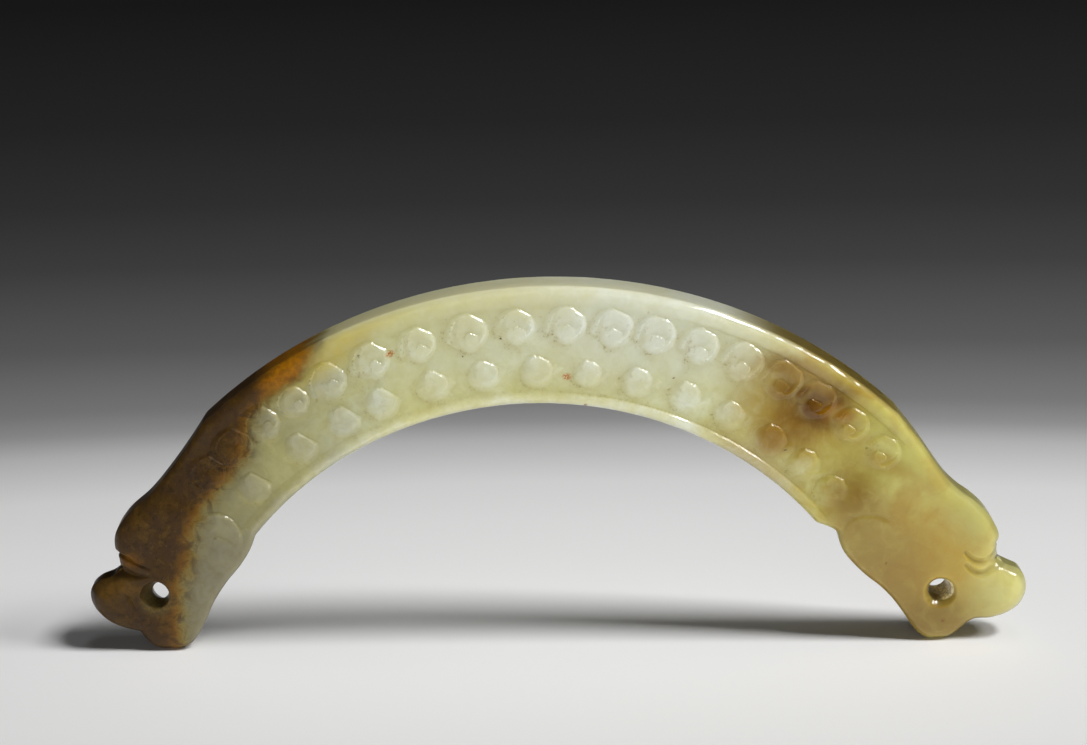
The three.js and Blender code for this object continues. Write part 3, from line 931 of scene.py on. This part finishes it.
# Noise: waves in a mm, detail, roughness, distortion
noises = {
    "clouds": (0.11, 4, 0.55, 0.6), "wisps": (0.4, 4, 0.6, 1), "amber": (0.2, 4, 0.6, 0.8),
    "mottling": (0.75, 4, 0.65, 0.5), "skinBorder": (0.5, 2.5, 0.5, 0.3), "skinMottle": (0.42, 5, 0.7, 0.6),
    "skinGrain": (1.6, 4, 0.7, 0.4), "soilPatches": (0.9, 5, 0.8), "soilDots": (2.8, 4, 0.65),
    "holeDirt": (2.6, 3, 0.6), "speckEdge": (5, 2, 0.5), "waves": (0.55, 2, 0.5), "ruffle": (0.45, 4, 0.6),
}
# How far noise moves a border to either side
sway = {"greyGreenAndPaintedShade": 18, "lemon": 16, "skin": 2.4, "stain": 1.6, "hole": 0.3, "speck": 0.9}
# Where a tone sets in and where it is full, in mm or in values of its noise, and its least and full share
spans = {
    "celadon": (0.35, 0.65), "greyGreenAndPaintedShade": (-14, -44), "lemon": (17, 34), "mottling": (0.35, 0.65),
    "amber": (0.42, 0.68, 0, 0.7), "amberSide": (24, 38), "skin": (3, 0.2), "insideSkin": (0.4, -1.6),
    "darkMottle": (0.45, 0.62, 0, 0.65), "tanMottle": (0.47, 0.34, 0, 0.5),
    "darkGrain": (0.5, 0.68, 0, 0.55), "tanGrain": (0.44, 0.3, 0, 0.3),
    "soilPatches": (0.47, 0.62, 0.03, 1), "soilDots": (0.5, 0.62, 0.15, 0.75),
    "holeDirt": (0.42, 0.6), "speckEdge": (0.36, 0.56), "clearness": (0.04, 0.4, 0.1, 1),
}
# The skin's inner edge, as height z and x, and the box that its curve lies in
skinEdge = ((0, -44.8), (6, -44.8), (10, -43.7), (15.5, -42.6), (18, -41.3), (22.7, -37.4), (26, -35.7),
            (29, -35.3), (32.2, -32.5), (34, -30), (37.6, -28.2), (41, -24.5), (45, -21))
skinBox = {"top": 45, "low": -50, "high": -20}
# Tones across the skin's edge, from inside the skin to the stone
skinTones = (
    (-6, (72, 51, 22)), (-2.6, (66, 45, 18)), (-1.4, (78, 54, 22)), (-0.4, (108, 76, 26)),
    (0.2, (122, 96, 42)), (0.8, (126, 112, 60)), (1.8, (124, 116, 78)),
)
# Stains, and one painted sheen: centre x and z, half width and half height, tilt in degrees, softness,
# strength, colour
stainsAndSheen = (
    (-17, 41.5, 13, 2.6, 16, 0.9, 0.6, (188, 182, 112)),
    (-4.5, 42, 6.5, 1.6, 0, 0.8, 0.65, (196, 190, 122)),
    (-26.5, 36, 7.5, 1.7, 34, 0.8, 0.85, (184, 168, 80)),
    # a painted sheen: the pale bluish band below the top edge on the right
    (9, 38.5, 15, 5.5, -6, 1, 0.7, (214, 217, 205)),
    (-13, 36, 6, 4, 10, 1, 0.45, (206, 209, 190)),
    (25.5, 28.5, 4.5, 6.5, 25, 0.9, 0.7, (168, 142, 54)),
    (29, 30, 5.8, 4.8, -20, 0.8, 0.85, (150, 114, 24)),
    (27.4, 27.6, 2.6, 2.8, -30, 0.8, 0.9, (128, 92, 6)),
    (44.6, 10.5, 7, 6, -50, 0.9, 0.8, (180, 148, 54)),
    (37.5, 9.5, 6.5, 5.5, -50, 0.8, 0.8, (142, 114, 50)),
    (44, 2.5, 6.5, 3.4, 0, 0.8, 0.9, (130, 104, 38)),
    (53, 7, 4, 4, 0, 0.8, 0.8, (200, 198, 134)),
    (49, 17, 3.5, 5, 35, 0.9, 0.8, (182, 180, 116)),
    (40, 23.5, 4.5, 3, -40, 0.9, 0.7, (190, 186, 112)),
    (34.2, 18.5, 2.8, 4, 15, 0.9, 0.9, (134, 104, 28)),
    (37.6, 22.4, 3.2, 1.1, -28, 0.8, 0.6, (156, 124, 38)),
    (22.8, 22.6, 6.5, 1.5, -38, 0.8, 0.5, (150, 124, 60)),
    (27.7, 30.9, 2.8, 2.2, -30, 0.8, 0.85, (116, 82, 10)),
    (30.3, 29.5, 3.3, 2.7, -12, 0.4, 1, (102, 66, 2)),
    (32, 28.5, 1.6, 1.1, -12, 0.8, 0.8, (160, 112, 6)),
    (28.9, 33, 3.2, 1.3, -35, 0.6, 0.8, (158, 132, 76)),
    (25.2, 34.6, 2, 1.1, -20, 0.7, 0.7, (134, 100, 34)),
    (24.3, 25.6, 1.8, 2, 20, 0.6, 0.75, (142, 104, 22)),
)
# Tones that lie only on the edge face: the two pale ones on the left are painted light, the darker ones on
# the right darken the edge there
edgeTonesAndPaintedLight = (
    (-15, 42, 28, 9, 14, 0.7, 0.55, (240, 238, 196)),
    (-31, 34, 6, 5, 40, 0.7, 0.6, (226, 214, 140)),
    (31.5, 34.5, 12, 3.8, -38, 0.5, 0.95, (104, 88, 34)),
    (46, 23, 6, 4, -50, 0.8, 0.8, (116, 108, 58)),
    (53, 11, 4, 9, 0, 0.8, 0.7, (122, 118, 72)),
)
# Rust at the skin's inner edge
rust = (
    (-30.6, 34.8, 3.4, 1.5, 44, 0.7, 0.85, (166, 110, 8)),
    (-41.3, 6, 1.3, 5, 0, 0.8, 0.5, (122, 90, 30)),
    (-49.8, 11.6, 1.2, 0.9, 0, 0.7, 0.7, (122, 82, 26)),
    (-52, 8, 2, 1, 0, 0.8, 0.5, (116, 86, 32)),
)
# Bare stone in the cord holes; the right hole's pale wall is painted light, paler than the stone's face
holeWallsAndPaintedLight = (
    (-47, 6.5, 1.75, 1.75, 0, 0.4, 0.8, (84, 74, 44)),
    # painted light: the right hole's wall, paler than the stone's face
    (44.85, 6.45, 1.42, 1.42, 0, 0.06, 1, (250, 240, 200)),
)
# How far the wisps break up a stain, and the grain the rust: values of the noise, and the least share
broken = {"stain": (0.3, 0.6, 0.75), "rust": (0.4, 0.6, 0.6)}
# Specks on the front face: centre x and z, radius, colour
specks = (
    (-18.63, 36.42, 0.42, (176, 112, 50)), (1.23, 33.4, 0.46, (184, 112, 50)),
    (13.37, 33, 0.14, (120, 50, 20)), (3.25, 29.78, 0.26, (110, 26, 10)),
    (44.96, 2.64, 0.22, (110, 40, 16)), (-4.67, 40, 0.12, (40, 34, 20)),
    (-22.3, 36.1, 0.2, (60, 46, 22)), (-10.5, 36, 0.12, (40, 34, 20)), (10.4, 40.8, 0.13, (40, 34, 20)),
    (26.2, 24.1, 0.13, (46, 36, 20)), (38.2, 10.1, 0.14, (60, 40, 20)), (-6.3, 37.9, 0.14, (60, 52, 30)),
)
speckForm = {"height": 0.8, "tilt": 20, "softness": 0.6, "front": -2.0}


def makeStainGroup():
    # a soft oval blot whose edge is ruffled by noise
    group = bpy.data.node_groups.new("stain", "ShaderNodeTree")
    sockets = group.interface.new_socket
    for name, kind in (("Place", "Vector"), ("Centre", "Vector"), ("Size", "Vector"),
                       ("Tilt", "Float"), ("Softness", "Float"), ("Ruffle", "Float")):
        sockets(name, in_out="INPUT", socket_type="NodeSocket" + kind)
    sockets("Mask", in_out="OUTPUT", socket_type="NodeSocketFloat")
    given = addNode(group, "NodeGroupInput").outputs
    ruffle = noiseAt(group, given["Place"], *noises["ruffle"])["Color"]
    offset = vectorMaths(group, "SUBTRACT", ruffle, (0.5, 0.5, 0.5))
    moved = vectorMaths(group, "ADD", given["Place"], vectorMaths(group, "SCALE", offset, given["Ruffle"]))
    flat = vectorMaths(group, "MULTIPLY", vectorMaths(group, "SUBTRACT", moved, given["Centre"]), (1, 0, 1))
    turned = addNode(group, "VectorRotate", {"Vector": flat, "Angle": given["Tilt"]}, rotation_type="Y_AXIS")
    sized = vectorMaths(group, "DIVIDE", turned.outputs[0], given["Size"])
    away = vectorMaths(group, "LENGTH", sized)
    inside = maths(group, "SUBTRACT", 1.0, given["Softness"])
    outside = maths(group, "ADD", 1.0, given["Softness"])
    addNode(group, "NodeGroupOutput", {"Mask": mapRange(group, away, inside, outside, 1.0, 0.0)})
    return group


def makeJade():
    material = bpy.data.materials.new("nephrite")
    tree = emptyTree(material)
    stainGroup = makeStainGroup()
    place = vectorMaths(tree, "SCALE", addNode(tree, "TexCoord").outputs["Object"], 1 / mm)
    axes = addNode(tree, "SeparateXYZ", {"Vector": place}).outputs

    def painted(name):
        return addNode(tree, "Attribute", attribute_name=name).outputs["Fac"]

    def noise(name):
        return noiseAt(tree, place, *noises[name])["Fac"]

    def span(value, name):
        return mapRange(tree, value, *spans[name])

    def cut(name):
        return span(noise(name), name)

    def times(*values, clamp=False):
        return maths(tree, "MULTIPLY", *values, clamp=clamp)

    def mix(share, low, high, blend="MIX"):
        return mixColour(tree, share, low, high, blend)

    def swayed(along, value, name):
        return maths(tree, "ADD", along, times(maths(tree, "SUBTRACT", value, 0.5), sway[name]))

    def oval(x, z, wide, high, tilt, softness, ruffle="stain"):
        return addNode(tree, "Group", {
            "Place": place, "Centre": (x, 0, z), "Size": (wide, 1, high), "Tilt": math.radians(tilt),
            "Softness": softness, "Ruffle": sway[ruffle],
        }, node_tree=stainGroup).outputs["Mask"]

    # clouds in the pale stone, then its stains; some of these tones are painted shade, sheen and light
    sunk, edge, soil = painted("sunk"), painted("edge"), painted("soil")
    clouds, wisps = noise("clouds"), noise("wisps")
    colour = mix(span(clouds, "celadon"), finish["milk"], finish["celadon"])
    # towards the left end the stone turns a darker grey-green: partly its own tone, partly painted shade
    colour = mix(span(swayed(axes["X"], clouds, "greyGreenAndPaintedShade"), "greyGreenAndPaintedShade"), colour, finish["greyGreenAndPaintedShade"])
    rightward = swayed(axes["X"], wisps, "lemon")
    colour = mix(span(rightward, "lemon"), colour, finish["lemon"])
    amber = times(cut("amber"), span(rightward, "amberSide"))
    colour = mix(amber, colour, finish["amber"])
    tint = mix(times(sunk, 1.0, clamp=True), (1, 1, 1, 1), finish["ground"])
    colour = mix(1.0, colour, tint, "MULTIPLY")
    colour = mix(1.0, colour, mix(cut("mottling"), *finish["mottles"]), "MULTIPLY")
    low, high, least = broken["stain"]
    for *form, strength, tone in stainsAndSheen:
        share = mapRange(tree, wisps, low, high, least * strength, strength)
        colour = mix(times(oval(*form), share), colour, tone)
    # tones on the edge face; the pale ones are painted light
    for *form, strength, tone in edgeTonesAndPaintedLight:
        colour = mix(times(times(oval(*form), edge), strength), colour, tone)
    # the skin
    height = mapRange(tree, axes["Z"], 0, skinBox["top"], smooth=False)
    skinLine = addNode(tree, "FloatCurve", {"Value": height})
    curve = skinLine.mapping.curves[0]
    skinWidth = skinBox["high"] - skinBox["low"]
    for i, (z, x) in enumerate(skinEdge):
        spot = (z / skinBox["top"], (x - skinBox["low"]) / skinWidth)
        if i < 2:
            curve.points[i].location = spot
        else:
            curve.points.new(*spot)
    skinLine.mapping.update()
    boundary = maths(tree, "MULTIPLY_ADD", skinLine.outputs[0], skinWidth, skinBox["low"])
    depthIn = swayed(maths(tree, "SUBTRACT", axes["X"], boundary), noise("skinBorder"), "skin")
    first, last = skinTones[0][0], skinTones[-1][0]
    tones = addNode(tree, "ValToRGB", {"Fac": mapRange(tree, depthIn, first, last, smooth=False)})
    fillRamp(tones, [((at - first) / (last - first), linear(*tone)) for at, tone in skinTones])
    skinMask, insideSkin = span(depthIn, "skin"), span(depthIn, "insideSkin")
    mottle, grain = noise("skinMottle"), noise("skinGrain")
    skinColour = tones.outputs["Color"]
    for name in ("darkMottle", "tanMottle"):
        skinColour = mix(span(mottle, name), skinColour, finish[name])
    for name in ("darkGrain", "tanGrain"):
        skinColour = mix(times(span(grain, name), insideSkin), skinColour, finish[name])
    low, high, least = broken["rust"]
    for *form, strength, tone in rust:
        share = mapRange(tree, grain, low, high, strength, least * strength)
        skinColour = mix(times(oval(*form), share), skinColour, tone)
    colour = mix(skinMask, colour, skinColour)
    # soil in the cuts, with painted shade in the left head's deep hollows, bare stone in the holes, with
    # painted light on the right hole's wall, and specks
    soilMask = times(soil, cut("soilPatches"), clamp=True)
    bare = maths(tree, "MULTIPLY_ADD", skinMask, -finish["groundStain"], finish["groundStain"])
    colour = mix(times(soil, bare, clamp=True), colour, finish["stainedGround"])
    dots = times(soilMask, maths(tree, "MAXIMUM", cut("soilDots"), skinMask))
    colour = mix(dots, colour, mix(skinMask, finish["soil"], finish["darkSoilAndShade"]))
    dirt = times(cut("holeDirt"), finish["holeDirt"])
    holeMask = 0.0
    for *form, strength, tone in holeWallsAndPaintedLight:
        mask = oval(*form, "hole")
        colour = mix(times(mask, strength), colour, mix(dirt, tone, finish["soil"]))
        holeMask = maths(tree, "MAXIMUM", mask, holeMask)
    onFront = maths(tree, "LESS_THAN", axes["Y"], speckForm["front"])
    onFront = times(onFront, cut("speckEdge"))
    for x, z, radius, tone in specks:
        high = radius * speckForm["height"]
        mask = oval(x, z, radius, high, speckForm["tilt"], speckForm["softness"], "speck")
        colour = mix(times(mask, onFront), colour, tone)
    gloss = maths(tree, "MULTIPLY_ADD", skinMask, finish["skinGloss"] - finish["gloss"], finish["gloss"])
    for mask, name in ((soilMask, "soilDulls"), (holeMask, "holeDulls"), (edge, "edgeDulls")):
        gloss = times(gloss, maths(tree, "MULTIPLY_ADD", mask, -finish[name], 1.0))
    colour = mix(1.0, colour, (finish["deepening"],) * 3 + (1,), "MULTIPLY")
    # light reaches less deep into dark stone
    clearness = span(addNode(tree, "RGBToBW", {"Color": colour}).outputs["Val"], "clearness")
    bareClearness = maths(tree, "MULTIPLY_ADD", skinMask, -finish["bareClearness"], finish["bareClearness"])
    clearness = maths(tree, "MAXIMUM", clearness, bareClearness)
    bump = addNode(tree, "Bump", {
        "Height": noise("waves"), "Strength": finish["waveStrength"], "Distance": finish["waveDepth"] * mm,
    }).outputs["Normal"]
    shader = addNode(tree, "BsdfPrincipled", {
        "Base Color": colour,
        "Roughness": finish["roughness"],
        "IOR": finish["bodyIndex"],
        "Specular IOR Level": finish["bodyShine"],
        "Coat Weight": gloss,
        "Coat Roughness": finish["glossRoughness"],
        "Coat IOR": finish["glossIndex"],
        "Subsurface Weight": 1.0,
        "Subsurface Radius": finish["scatterColours"],
        "Subsurface Scale": times(clearness, finish["scatterDepth"]),
        "Normal": bump,
        "Coat Normal": bump,
    })
    addNode(tree, "OutputMaterial", {"Surface": shader.outputs[0]})
    return material


jade.data.materials.append(makeJade())
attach(jade, "root")
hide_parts("jade_huang")
print("jade finished")
